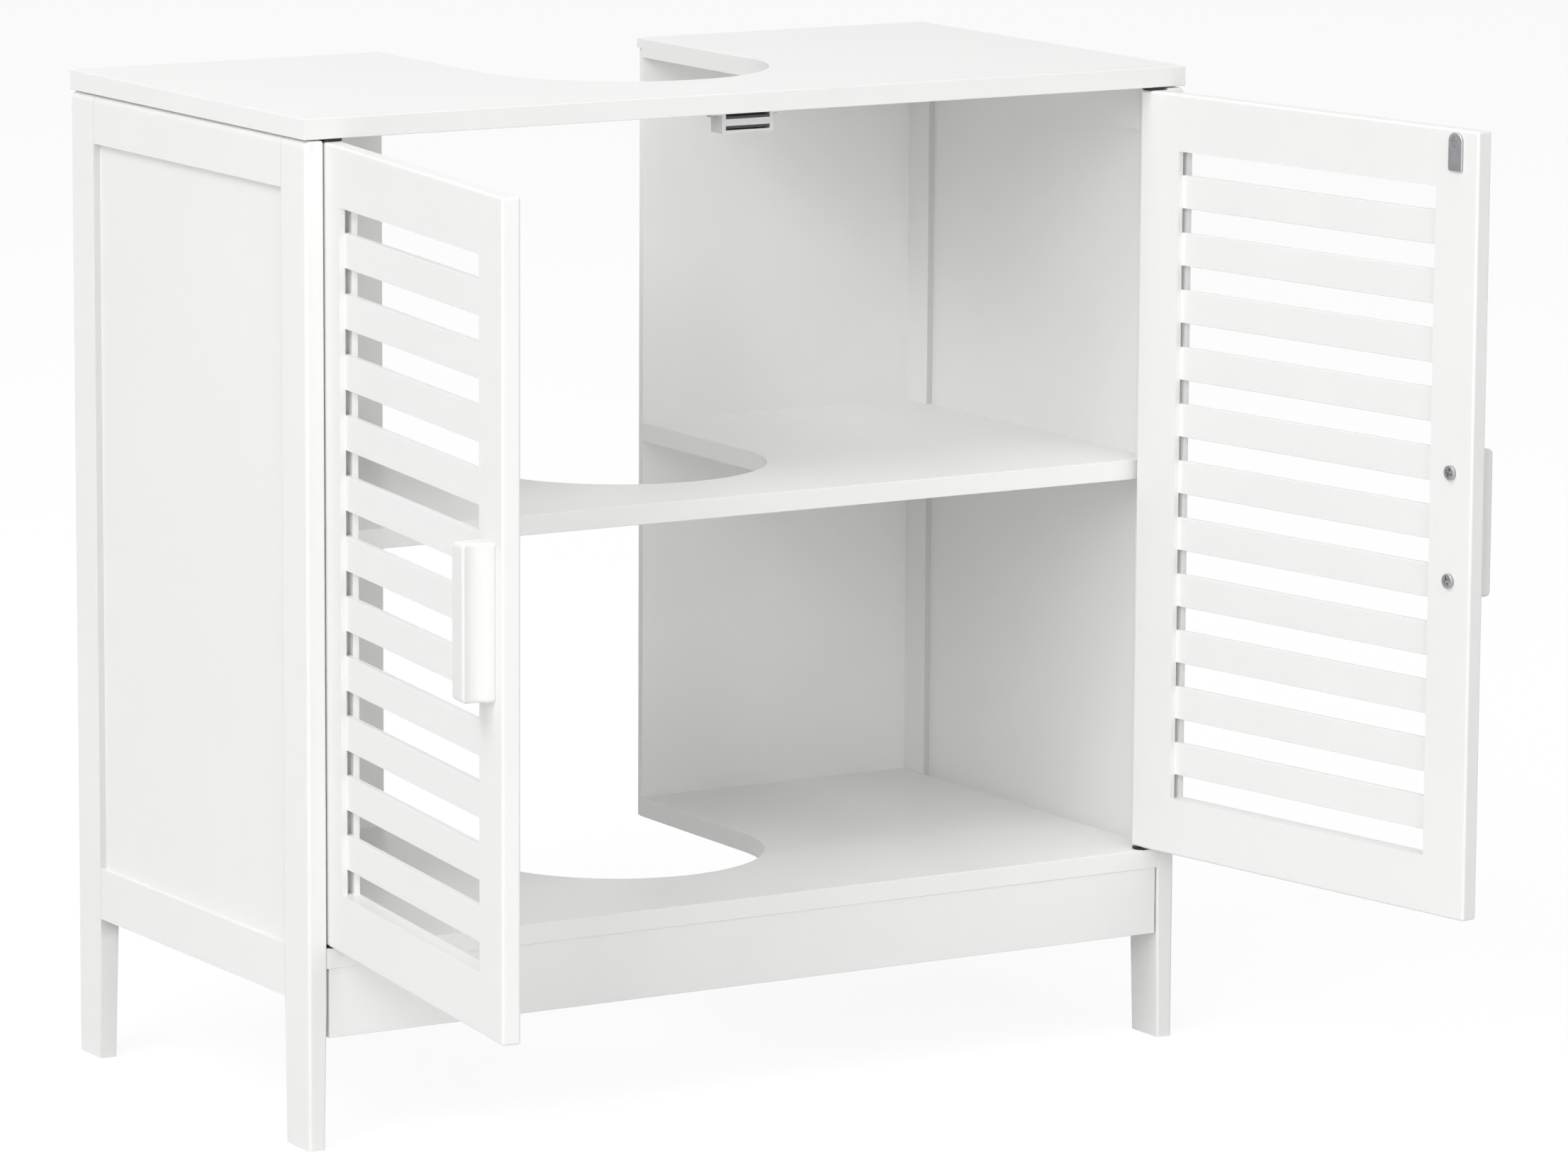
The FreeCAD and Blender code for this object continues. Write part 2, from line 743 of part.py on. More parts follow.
# Each lock is a short drum with a slot that lets the bolt's head in from the joint.
locks = newBody("cam_locks")
for under, along in ((s.shelfUnder, shelfBolts), (s.bottomUnder, bottomBolts)):
    drums = []
    notches = []
    for side in sides.values():
        for spot in along:
            drums.append(Disc(camX * side, spot, s.camRadius))
            notch = (spot - s.camSlotHalf, spot + s.camSlotHalf)
            notches.append(rect(camX * side, (camX + s.camRadius) * side, *notch))
    prism(locks, "XY", under, under + s.camDeep, drums)
    middle = under + s.boardThick / 2
    recess(locks, "XY", middle - s.camSlotHalf, middle + s.camSlotHalf, notches)
for side in sides.values():
    spots = [along for nearSide, along in topBolts if nearSide == side]
    drums = [Disc(along, topCamZ, s.camRadius) for along in spots]
    low, high = span(side, s.inner, s.inner + s.camDeep)
    prism(locks, "YZ", low, high, drums)
    notches = []
    for along in spots:
        notch = (along - s.camSlotHalf, along + s.camSlotHalf)
        notches.append(rect(*notch, topCamZ, topCamZ + s.camRadius))
    low, high = span(side, s.frameMid - s.camSlotHalf, s.frameMid + s.camSlotHalf)
    recess(locks, "YZ", low, high, notches)
drums = [Disc(across, apronCamZ, s.camRadius) for across in apronBolts]
prism(locks, "XZ", s.apronRear - s.camDeep, s.apronRear, drums)
notches = []
for across in apronBolts:
    notch = (across - s.camSlotHalf, across + s.camSlotHalf)
    notches.append(rect(*notch, apronCamZ, apronCamZ + s.camRadius))
recess(locks, "XZ", s.apronMid - s.camSlotHalf, s.apronMid + s.camSlotHalf, notches)

screws = newBody("back_panel_screws")
spots = []
for side in sides.values():
    for across in backScrewX:
        spots += [(across * side, s.bottomMid), (across * side, s.shelfMid)]
    spots += [(legScrewX * side, level) for level in legScrewZ]
shanks = [Disc(u, v, s.backScrew) for u, v in spots]
headLow = s.backRear - s.backScrewHeadTall
prism(screws, "XZ", s.backFront - s.backScrewBite, headLow, shanks)
prism(screws, "XZ", headLow, s.backRear, [Disc(u, v, s.backScrewHead) for u, v in spots])

# ---- magnetic catch ----

housing = newBody("catch_housing")
catchRear = s.catchFront + s.catchDeep
ears = rect(-s.catchEars / 2, s.catchEars / 2, s.catchFront, catchRear)
prism(housing, "XY", s.topUnder - s.earThick, s.topUnder, [ears])
block = rect(-s.catchWide / 2, s.catchWide / 2, s.catchFront, catchRear)
prism(housing, "XY", s.topUnder - s.catchTall, s.topUnder - s.earThick, [block])
roundEdges(
    housing,
    s.earEdge,
    lambda p: near(abs(p.x), s.catchEars / 2) and near(p.y, s.catchFront),
    lambda p: near(abs(p.x), s.catchEars / 2) and near(p.y, catchRear),
)
halfWindow = s.windowWide / 2
windowRear = s.catchFront + s.windowDeep
slots = [
    rect(-halfWindow, halfWindow, s.upperPoleLow, s.windowTop),
    rect(-halfWindow, halfWindow, s.windowLow, s.lowerPoleTop),
]
recess(housing, "XZ", s.catchFront, windowRear, slots)
bar = rect(-halfWindow, halfWindow, s.lowerPoleTop, s.upperPoleLow)
recess(housing, "XZ", s.catchFront + s.webThick, windowRear, [bar])
holes = [Disc(s.earScrewAt * side, earScrewY, s.smallHole) for side in sides.values()]
recess(housing, "XY", s.topUnder - s.earThick, s.topUnder, holes)

poles = newBody("catch_pole_plates")
upper = rect(-halfWindow, halfWindow, s.upperPoleLow, s.upperPoleLow + s.poleThick)
lower = rect(-halfWindow, halfWindow, s.lowerPoleTop - s.poleThick, s.lowerPoleTop)
prism(poles, "XZ", s.catchFront + s.poleBack, windowRear, [upper, lower])

magnet = newBody("catch_magnet")
prism(magnet, "XZ", s.catchFront + s.webThick, windowRear, [bar])

screws = newBody("catch_screws")
earUnder = s.topUnder - s.earThick
shanks = [Disc(s.earScrewAt * side, earScrewY, s.smallScrew) for side in sides.values()]
heads = [Disc(s.earScrewAt * side, earScrewY, s.earScrewHead) for side in sides.values()]
crosses = []
for side in sides.values():
    crosses.append(plus(s.earScrewAt * side, earScrewY, s.smallCross, s.smallCrossHalf))
prism(screws, "XY", earUnder, s.topUnder + s.smallBite - s.dowelSpare, shanks)
headUnder = earUnder - s.earScrewHeadTall
prism(screws, "XY", headUnder, earUnder, heads)
recess(screws, "XY", headUnder, headUnder + s.smallCross / 2, crosses)


# ---- pivot bushes ----


# The flange has a flat flush with the boards' front edges.
def trimFlange(body, low, high):
    slices = []
    for side in sides.values():
        left = s.pivotX * side - s.flangeRadius
        right = s.pivotX * side + s.flangeRadius
        slices.append(rect(left, right, s.front - s.flangeRadius, s.front))
    recess(body, "XY", low, high, slices)


flanges = [Disc(s.pivotX * side, s.pivotY, s.flangeRadius) for side in sides.values()]
bores = [Disc(s.pivotX * side, s.pivotY, s.pinHole) for side in sides.values()]

bushes = newBody("top_pivot_bushes")
flangeUnder = s.topUnder - s.topFlange
prism(bushes, "XY", flangeUnder, s.topUnder, flanges)
trimFlange(bushes, flangeUnder, s.topUnder)
prism(bushes, "XY", s.topUnder, s.topUnder + s.bushDeep, bushHoles)
recess(bushes, "XY", flangeUnder, s.topUnder + s.bushDeep - s.bushFloor, bores)

bushes = newBody("bottom_pivot_bushes")
flangeTop = s.bottomTop + s.bottomFlange
prism(bushes, "XY", s.bottomTop, flangeTop, flanges)
trimFlange(bushes, s.bottomTop, flangeTop)
prism(bushes, "XY", s.bottomTop - s.bushDeep, s.bottomTop, bushHoles)
recess(bushes, "XY", s.bottomTop - s.bushDeep + s.bushFloor, flangeTop, bores)

# ---- doors ----


# Puts a piece drawn closed, with its pivot axis on its own Z axis, at the open door's place.
def hang(body, side, angle):
    axis = FreeCAD.Vector(0, 0, side)
    place = FreeCAD.Vector(s.pivotX.value * side, s.pivotY.value, 0)
    body.Placement = FreeCAD.Placement(place, FreeCAD.Rotation(axis, angle.value))
    bind(body, "Placement.Base.x", s.pivotX * side)
    bind(body, "Placement.Base.y", s.pivotY)
    bind(body, "Placement.Rotation.Angle", angle)


for name, side in sides.items():
    doorParts = []
    hinge = s.pivotToEdge * side
    latch = (s.pivotToEdge - s.doorWide) * side
    hingeInner = (s.pivotToEdge - s.stileWide) * side
    latchInner = (s.pivotToEdge - s.doorWide + s.stileWide) * side
    slatHalf = s.slatThick / 2

    stile = newBody(name + "_door_hinge_stile")
    doorParts.append(stile)
    prism(stile, "XZ", -s.face, s.face, [rect(hinge, hingeInner, s.doorLow, s.doorHigh)])
    roundEdges(
        stile,
        s.doorEdge,
        lambda p: near(abs(p.y), s.face) and near(p.x, hinge),
        lambda p: near(abs(p.y), s.face) and near(p.z, s.doorLow),
        lambda p: near(abs(p.y), s.face) and near(p.z, s.doorHigh),
    )
    groove = rect(hingeInner, hingeInner + s.doorGroove * side, -slatHalf, slatHalf)
    recess(stile, "XY", s.doorLow, s.doorHigh, [groove])
    bore = [Disc(0, 0, s.pinHole)]
    recess(stile, "XY", s.doorHigh - s.topPinLong, s.doorHigh, bore)
    recess(stile, "XY", s.doorLow, s.doorLow + s.bottomPinLong, bore)
    slotHigh = s.doorHigh - s.slotDrop
    slotHalf = s.slotWide / 2
    slot = rect(-slotHalf, slotHalf, slotHigh - s.slotTall, slotHigh)
    low, high = span(side, asSize(0), s.pivotToEdge)
    recess(stile, "YZ", low, high, [slot])

    stile = newBody(name + "_door_latch_stile")
    doorParts.append(stile)
    prism(stile, "XZ", -s.face, s.face, [rect(latch, latchInner, s.doorLow, s.doorHigh)])
    roundEdges(
        stile,
        s.doorEdge,
        lambda p: near(abs(p.y), s.face) and near(p.x, latch),
        lambda p: near(abs(p.y), s.face) and near(p.z, s.doorLow),
        lambda p: near(abs(p.y), s.face) and near(p.z, s.doorHigh),
    )
    groove = rect(latchInner, latchInner - s.doorGroove * side, -slatHalf, slatHalf)
    recess(stile, "XY", s.doorLow, s.doorHigh, [groove])
    handleX = latch + s.handleInset * side
    screwX = latch + s.handleScrewInset * side
    strikeX = latch + s.strikeInset * side
    screwSpots = []
    for up in (-1, 1):
        screwSpots.append((screwX, s.doorMid + s.handleScrewSpan / 2 * up))
    holes = [Disc(u, v, s.screwHole) for u, v in screwSpots]
    recess(stile, "XZ", -s.face, s.face, holes)
    archZ = s.doorHigh - s.strikeDrop - s.strikeWide / 2
    recess(stile, "XZ", s.face - s.smallBite, s.face, [Disc(strikeX, archZ, s.smallHole)])

    railSpans = {
        "top": (s.doorHigh - s.doorRailTall, s.doorHigh),
        "bottom": (s.doorLow, s.doorLow + s.doorRailTall),
    }
    tongueEnds = (hingeInner + s.doorTongue * side, latchInner - s.doorTongue * side)
    for place, (under, over) in railSpans.items():
        rail = newBody(f"{name}_door_{place}_rail")
        doorParts.append(rail)
        outerEdge = over if place == "top" else under
        prism(rail, "XZ", -s.face, s.face, [rect(hingeInner, latchInner, under, over)])
        roundEdges(rail, s.doorEdge, lambda p: near(abs(p.y), s.face) and near(p.z, outerEdge))
        prism(rail, "XZ", -slatHalf, slatHalf, [rect(*tongueEnds, under, over)])

    slats = newBody(name + "_door_slats")
    doorParts.append(slats)
    bars = []
    for number in range(int(s.slatCount.value)):
        step = s.slatTall + s.slatGap
        under = s.doorLow + s.doorRailTall + s.slatGap + step * number
        bars.append(rect(*tongueEnds, under, under + s.slatTall))
    prism(slats, "XZ", -slatHalf, slatHalf, bars)
    corners = [bar[0][1].value for bar in bars] + [bar[2][1].value for bar in bars]
    tests = []
    for level in corners:
        tests.append(lambda p, level=level: near(abs(p.y), slatHalf) and near(p.z, level))
    roundEdges(slats, s.slatEdge, *tests)

    handle = newBody(name + "_door_handle")
    doorParts.append(handle)
    handleLow = s.doorMid - s.handleTall / 2
    handleHigh = s.doorMid + s.handleTall / 2
    footAt = s.handleWide / 2
    endAt = s.handleEndWide / 2
    handleFront = -s.face - s.handleOut
    grip = [
        (handleX - footAt, -s.face),
        (handleX - endAt, handleFront),
        (handleX + endAt, handleFront),
        (handleX + footAt, -s.face),
    ]
    prism(handle, "XY", handleLow, handleHigh, [grip])
    sideAt = endAt + (footAt - endAt) * s.scoopFromEnd / s.handleOut
    scoopX = sideAt - s.scoopDeep + s.scoopRadius
    scoopY = handleFront + s.scoopFromEnd
    scoops = []
    for way in (-1, 1):
        scoops.append(Disc(handleX + scoopX * way, scoopY, s.scoopRadius))
    recess(handle, "XY", handleLow, handleHigh, scoops)
    roundEdges(
        handle,
        s.handleEnd,
        lambda p: near(p.y, handleFront) and near(p.z, handleLow),
        lambda p: near(p.y, handleFront) and near(p.z, handleHigh),
    )
    bite = -s.face - s.handleScrewBite - s.dowelSpare
    recess(handle, "XZ", bite, -s.face, [Disc(u, v, s.screwHole) for u, v in screwSpots])

    screws = newBody(name + "_door_handle_screws")
    doorParts.append(screws)
    headTop = s.face + s.screwHeadTall
    prism(screws, "XZ", s.face, headTop, [Disc(u, v, s.screwHead) for u, v in screwSpots])
    roundEdges(screws, s.screwHeadEdge, lambda p: near(p.y, headTop))
    shanks = [Disc(u, v, s.screwRadius) for u, v in screwSpots]
    prism(screws, "XZ", -s.face - s.handleScrewBite, s.face, shanks)
    crosses = [plus(u, v, s.crossArm, s.crossHalf) for u, v in screwSpots]
    recess(screws, "XZ", headTop - s.crossDeep, headTop, crosses)

    strike = newBody(name + "_door_strike_plate")
    doorParts.append(strike)
    strikeTop = s.doorHigh - s.strikeDrop
    halfWide = s.strikeWide / 2
    plateOut = s.face + s.strikeThick
    flat = rect(strikeX - halfWide, strikeX + halfWide, strikeTop - s.strikeTall, archZ)
    prism(strike, "XZ", s.face, plateOut, [flat])
    lowEdge = strikeTop - s.strikeTall
    roundEdges(
        strike,
        s.strikeCorner,
        lambda p: near(p.z, lowEdge) and near(p.x, strikeX - halfWide),
        lambda p: near(p.z, lowEdge) and near(p.x, strikeX + halfWide),
    )
    prism(strike, "XZ", s.face, plateOut, [Disc(strikeX, archZ, halfWide)])
    hole = Disc(strikeX, archZ, s.strikeHead + s.screwPlay)
    recess(strike, "XZ", s.face, plateOut, [hole])

    screw = newBody(name + "_door_strike_screw")
    doorParts.append(screw)
    prism(screw, "XZ", s.face, plateOut, [Disc(strikeX, archZ, s.strikeHead)])
    shankEnd = s.face - s.smallBite + s.dowelSpare
    prism(screw, "XZ", shankEnd, s.face, [Disc(strikeX, archZ, s.smallScrew)])
    cross = plus(strikeX, archZ, s.smallCross, s.smallCrossHalf)
    recess(screw, "XZ", plateOut - s.smallCross / 2, plateOut, [cross])

    pin = newBody(name + "_door_top_pin")
    doorParts.append(pin)
    pinLow = s.doorHigh - s.topPinLong + s.dowelSpare
    prism(pin, "XY", pinLow, s.topUnder + s.pinReach, [Disc(0, 0, s.pinRadius)])
    leverHalf = s.leverWide / 2
    lever = rect(-leverHalf, leverHalf, slotHigh - s.dowelSpare - s.leverTall, slotHigh - s.dowelSpare)
    low, high = span(side, asSize(0), s.leverReach)
    prism(pin, "YZ", low, high, [lever])

    pin = newBody(name + "_door_bottom_pin")
    doorParts.append(pin)
    pinHigh = s.doorLow + s.bottomPinLong - s.dowelSpare
    prism(pin, "XY", s.bottomTop - s.pinReach, pinHigh, [Disc(0, 0, s.pinRadius)])

    for body in doorParts:
        hang(body, side, s.leftOpen if side < 0 else s.rightOpen)

# ---- check and write ----

doc.recompute()
for item in doc.Objects:
    for state in item.State:
        if "Invalid" in state or "Error" in state:
            raise RuntimeError(f"{item.Label}: {state}")

for item in doc.Objects:
    if item.TypeId != "PartDesign::Body":
        continue
    shape = item.Shape
    if shape.isNull() or not shape.isValid() or not shape.Solids:
        raise RuntimeError(item.Label + ": no valid shape")
    shape.exportStep(f"parts/{item.Label}.step")
    print(item.Label, len(shape.Solids), round(shape.Volume, 1))
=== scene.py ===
import bpy
import math
import numpy as np
from mathutils import Matrix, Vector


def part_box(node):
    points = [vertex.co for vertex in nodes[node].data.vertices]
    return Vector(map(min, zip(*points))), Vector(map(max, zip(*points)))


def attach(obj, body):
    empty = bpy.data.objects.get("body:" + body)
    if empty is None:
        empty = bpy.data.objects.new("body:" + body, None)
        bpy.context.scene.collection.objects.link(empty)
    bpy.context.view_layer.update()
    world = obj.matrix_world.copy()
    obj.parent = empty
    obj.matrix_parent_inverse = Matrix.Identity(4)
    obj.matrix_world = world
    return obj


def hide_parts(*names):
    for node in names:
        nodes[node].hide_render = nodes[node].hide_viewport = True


# White slatted sink base cabinet with both doors open, on a pale floor.
# Metres; the wall plane is y = 0, the floor z = 0 and the middle of the width x = 0.

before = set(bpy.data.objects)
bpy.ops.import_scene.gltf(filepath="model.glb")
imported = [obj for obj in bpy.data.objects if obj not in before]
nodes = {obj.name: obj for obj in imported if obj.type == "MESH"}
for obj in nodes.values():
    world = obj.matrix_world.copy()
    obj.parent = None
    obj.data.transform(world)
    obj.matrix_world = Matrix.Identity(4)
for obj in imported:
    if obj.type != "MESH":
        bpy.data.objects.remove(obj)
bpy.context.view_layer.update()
mm = 0.001

doorValues = dict(  # mm from the pivot axis and the floor; the turn from closed in degrees
    pivotX=280.5, pivotY=-294.5, face=5.5, latch=-279.5, middle=353.35, top=586.2,
    turn={"left": -97.6, "right": 99.5},
)
mirror = {"left": -1, "right": 1}


def linearColour(hexText):  # sRGB hex to linear rgba
    parts = np.array([int(hexText[i:i + 2], 16) for i in (0, 2, 4)]) / 255
    linear = np.where(parts <= 0.04045, parts / 12.92, ((parts + 0.055) / 1.055) ** 2.4)
    return (*linear.tolist(), 1.0)


def addNode(tree, kind, settings=None, links=None):  # a node with its settings and its inputs
    node = tree.nodes.new("ShaderNode" + kind)
    for name, value in (settings or {}).items():
        setattr(node, name, value)
    for name, value in (links or {}).items():
        if isinstance(value, bpy.types.NodeSocket):
            tree.links.new(value, node.inputs[name])
        else:
            node.inputs[name].default_value = value
    return node


def newMaterial(name):
    material = bpy.data.materials.new(name)
    material.use_nodes = True
    tree = material.node_tree
    tree.nodes.clear()
    output = addNode(tree, "OutputMaterial")
    shader = addNode(tree, "BsdfPrincipled")
    tree.links.new(shader.outputs[0], output.inputs[0])
    return material, tree, shader


# Sprayed white paint: broad faint clouds from uneven film, a fine orange peel,
# and on solid wood a trace of grain that runs along the piece.
def paintMaterial(name, look):
    material, tree, shader = newMaterial(name)
    coords = addNode(tree, "TexCoord")
    turned = addNode(tree, "Mapping", None, {
        "Vector": coords.outputs["Object"],
        "Rotation": (0, 0, math.radians(look.get("turn", 0))),
    })
    clouds = addNode(tree, "TexNoise", None, {
        "Vector": turned.outputs[0],
        "Scale": 1 / (look["cloudSize"] * mm),
        "Detail": 3.0,
        "Roughness": 0.55,
    })
    grainScale = [1 / (size * mm) for size in look["grainSize"]]
    grainPlace = addNode(tree, "Mapping", None, {
        "Vector": turned.outputs[0],
        "Scale": tuple(grainScale),
    })
    grain = addNode(tree, "TexNoise", None, {
        "Vector": grainPlace.outputs[0],
        "Scale": 1.0,
        "Detail": 4.0,
        "Roughness": 0.6,
        "Distortion": 0.3,
    })
    blend = addNode(tree, "Math", {"operation": "MULTIPLY_ADD"}, {
        0: grain.outputs[0],
        1: look["grainShare"],
        2: clouds.outputs[0],
    })
    tint = addNode(tree, "MapRange", None, {
        "Value": blend.outputs[0],
        "From Min": 0.30 + 0.5 * look["grainShare"],
        "From Max": 0.70 + 0.5 * look["grainShare"],
    })
    colour = addNode(tree, "Mix", {"data_type": "RGBA"}, {0: tint.outputs[0]})
    colour.inputs[6].default_value = linearColour(look["dark"])
    colour.inputs[7].default_value = linearColour(look["light"])
    peel = addNode(tree, "TexNoise", None, {
        "Vector": turned.outputs[0],
        "Scale": 1 / (look["peelSize"] * mm),
        "Detail": 2.0,
        "Roughness": 0.5,
    })
    sheen = addNode(tree, "MapRange", None, {
        "Value": clouds.outputs[0],
        "From Min": 0.3,
        "From Max": 0.7,
        "To Min": look["roughness"] - 0.04,
        "To Max": look["roughness"] + 0.04,
    })
    peelBump = addNode(tree, "Bump", None, {
        "Height": peel.outputs[0],
        "Strength": 1.0,
        "Distance": look["peelDepth"] * mm,
    })
    grainBump = addNode(tree, "Bump", None, {
        "Height": grain.outputs[0],
        "Strength": 1.0,
        "Distance": look["grainDepth"] * mm,
        "Normal": peelBump.outputs[0],
    })
    finalColour, finalNormal = colour.outputs[2], grainBump.outputs[0]
    if "seams" in look:  # hairlines where two painted pieces of wood meet: a small groove in the bump, and painted shade that greys the paint along the gap
        place = addNode(tree, "SeparateXYZ", None, {0: coords.outputs["Object"]})
        lines = None
        for seam in look["seams"]:
            offset = addNode(tree, "Math", {"operation": "SUBTRACT"}, {
                0: place.outputs[look["seamAxis"]], 1: seam * mm})
            gap = addNode(tree, "Math", {"operation": "ABSOLUTE"}, {0: offset.outputs[0]})
            line = addNode(tree, "MapRange", None, {
                "Value": gap.outputs[0],
                "From Min": look["seamCore"] * mm,
                "From Max": look["seamWidth"] * mm,
                "To Min": 1.0,
                "To Max": 0.0,
            })
            if lines is None:
                lines = line.outputs[0]
            else:
                lines = addNode(tree, "Math", {"operation": "MAXIMUM"}, {
                    0: lines, 1: line.outputs[0]}).outputs[0]
        # painted shade: along each joint the paint greys towards the seam colour, standing for
        # shade in the hairline gap
        share = addNode(tree, "Math", {"operation": "MULTIPLY"}, {0: lines, 1: look["seamShade"]})
        shadedSeams = addNode(tree, "Mix", {"data_type": "RGBA"}, {0: share.outputs[0]})
        tree.links.new(finalColour, shadedSeams.inputs[6])
        shadedSeams.inputs[7].default_value = linearColour(look["seamShadowColour"])
        depth = addNode(tree, "Math", {"operation": "MULTIPLY"}, {0: lines, 1: -1.0})
        groove = addNode(tree, "Bump", None, {
            "Height": depth.outputs[0],
            "Strength": 1.0,
            "Distance": look["seamDepth"] * mm,
            "Normal": finalNormal,
        })
        finalColour, finalNormal = shadedSeams.outputs[2], groove.outputs[0]
    tree.links.new(finalColour, shader.inputs["Base Color"])
    tree.links.new(sheen.outputs[0], shader.inputs["Roughness"])
    tree.links.new(finalNormal, shader.inputs["Normal"])
    shader.inputs["IOR"].default_value = 1.5
    return material


# Moulded plastic: one even colour with a faint flow variation and a fine spark-eroded grain.
def plasticMaterial(name, look):
    material, tree, shader = newMaterial(name)
    coords = addNode(tree, "TexCoord")
    flow = addNode(tree, "TexNoise", None, {
        "Vector": coords.outputs["Object"],
        "Scale": 1 / (look["flowSize"] * mm),
        "Detail": 2.0,
    })
    colour = addNode(tree, "Mix", {"data_type": "RGBA"}, {0: flow.outputs[0]})
    colour.inputs[6].default_value = linearColour(look["dark"])
    colour.inputs[7].default_value = linearColour(look["light"])
    skin = addNode(tree, "TexNoise", None, {
        "Vector": coords.outputs["Object"],
        "Scale": 1 / (look["skinSize"] * mm),
        "Detail": 3.0,
    })
    bump = addNode(tree, "Bump", None, {
        "Height": skin.outputs[0],
        "Strength": 1.0,
        "Distance": look["skinDepth"] * mm,
    })
    sheen = addNode(tree, "MapRange", None, {
        "Value": flow.outputs[0],
        "To Min": look["roughness"] - 0.05,
        "To Max": look["roughness"] + 0.05,
    })
    tree.links.new(colour.outputs[2], shader.inputs["Base Color"])
    tree.links.new(sheen.outputs[0], shader.inputs["Roughness"])
    tree.links.new(bump.outputs[0], shader.inputs["Normal"])
    shader.inputs["IOR"].default_value = look["ior"]
    return material


# Plated or bare steel: fine handling marks and a slightly mottled zinc or mill surface.
def steelMaterial(name, look):
    material, tree, shader = newMaterial(name)
    coords = addNode(tree, "TexCoord")
    mottle = addNode(tree, "TexNoise", None, {
        "Vector": coords.outputs["Object"],
        "Scale": 1 / (look["mottleSize"] * mm),
        "Detail": 4.0,
        "Roughness": 0.65,
    })
    colour = addNode(tree, "Mix", {"data_type": "RGBA"}, {0: mottle.outputs[0]})
    colour.inputs[6].default_value = linearColour(look["dark"])
    colour.inputs[7].default_value = linearColour(look["light"])
    sheen = addNode(tree, "MapRange", None, {
        "Value": mottle.outputs[0],
        "To Min": look["roughness"] - 0.08,
        "To Max": look["roughness"] + 0.08,
    })
    marks = addNode(tree, "TexNoise", None, {
        "Vector": coords.outputs["Object"],
        "Scale": 1 / (look["markSize"] * mm),
        "Detail": 3.0,
    })
    bump = addNode(tree, "Bump", None, {
        "Height": marks.outputs[0],
        "Strength": 1.0,
        "Distance": look["markDepth"] * mm,
    })
    tree.links.new(colour.outputs[2], shader.inputs["Base Color"])
    tree.links.new(sheen.outputs[0], shader.inputs["Roughness"])
    tree.links.new(bump.outputs[0], shader.inputs["Normal"])
    shader.inputs["Metallic"].default_value = 1.0
    return material


lacquerLook = dict(light="F5F5F4", dark="F3F3F2", roughness=0.38, cloudSize=70,
                   peelSize=1.1, peelDepth=0.012, grainSize=(60, 1.4, 1.4),
                   grainShare=0.15, grainDepth=0.004)
panelLook = dict(light="F5F5F4", dark="F3F3F2", roughness=0.40, cloudSize=90,
                 peelSize=0.9, peelDepth=0.010, grainSize=(1.3, 1.3, 80),
                 grainShare=0.15, grainDepth=0.003)
paintLook = dict(light="F5F5F4", dark="F3F3F2", roughness=0.34, cloudSize=80,
                 peelSize=1.0, peelDepth=0.010, grainSize=(1.2, 1.2, 45),
                 grainShare=0.2, grainDepth=0.004)


def withLook(look, **changes):
    changed = dict(look)
    changed.update(changes)
    return changed


across = (45, 1.2, 1.2)  # grain along a door's rails and slats, in mm
along = (1.2, 45, 1.2)  # grain along the side rails
jointShadowLines = dict(  # mm; where the legs meet the side rails, marked with painted shade in the joint
    seams=(-270, -30), seamAxis="Y", seamCore=0.08, seamWidth=0.3, seamDepth=0.1,
    # colour and share of the painted shade in the joint lines
    seamShade=0.35, seamShadowColour="8C8C8A",
)
finishes = {
    "board": paintMaterial("lacqueredMdfBoard", lacquerLook),
    "panel": paintMaterial("lacqueredThinPanel", panelLook),
    "leg": paintMaterial("paintedPineUpright", withLook(paintLook, **jointShadowLines)),
    "sideRail": paintMaterial(
        "paintedPineSideRail", withLook(paintLook, grainSize=along, **jointShadowLines)),
}
for side, doorTurn in doorValues["turn"].items():
    turn = -doorTurn  # the grain keeps to the door, which stands open
    stileLook = withLook(paintLook, turn=turn)
    railLook = withLook(paintLook, turn=turn, grainSize=across)
    finishes[side + "Stile"] = paintMaterial(f"paintedPine{side.title()}Stile", stileLook)
    finishes[side + "Rail"] = paintMaterial(f"paintedPine{side.title()}Slat", railLook)

# ABS handles and catch housing, smooth from the mould
whiteAbs = plasticMaterial("mouldedWhiteAbs", dict(
    light="EDEDEC", dark="EBEBEA", roughness=0.36, flowSize=25, skinSize=0.5, skinDepth=0.004,
    ior=1.53))
# acetal bushes: black with a dull slippery sheen
blackAcetal = plasticMaterial("mouldedBlackAcetal", dict(
    light="1C1C1D", dark="131314", roughness=0.42, flowSize=8, skinSize=0.4, skinDepth=0.006,
    ior=1.48))
# natural nylon spacers: milky
nylon = plasticMaterial("mouldedNaturalNylon", dict(
    light="E4E2DA", dark="DCDAD0", roughness=0.45, flowSize=6, skinSize=0.4, skinDepth=0.005,
    ior=1.53))
# sintered ferrite: dark grey, granular and dull
ferrite = plasticMaterial("sinteredFerrite", dict(
    light="77777A", dark="5C5C60", roughness=0.75, flowSize=1.5, skinSize=0.25, skinDepth=0.03,
    ior=1.9))
# bright zinc plate on screws, bolts and pins
zinc = steelMaterial("zincPlatedSteel", dict(
    light="BEBFC1", dark="ABACAE", roughness=0.40, mottleSize=1.6, markSize=0.5,
    markDepth=0.004))
# nickel plated strike plates: satin, a little darker than the screws
satinNickel = steelMaterial("satinNickelPlate", dict(
    light="C6C7C9", dark="B6B7BA", roughness=0.38, mottleSize=3.0, markSize=0.6,
    markDepth=0.004))
# bare rolled steel of the pole plates, its colour painted dark to stand for the shade of the slot
# that it mirrors
shadeDarkenedSteel = steelMaterial("rolledSteelPlatePaintedShade", dict(
    light="5A5B5D", dark="434447", roughness=0.30, mottleSize=3.0, markSize=0.6,
    markDepth=0.005))
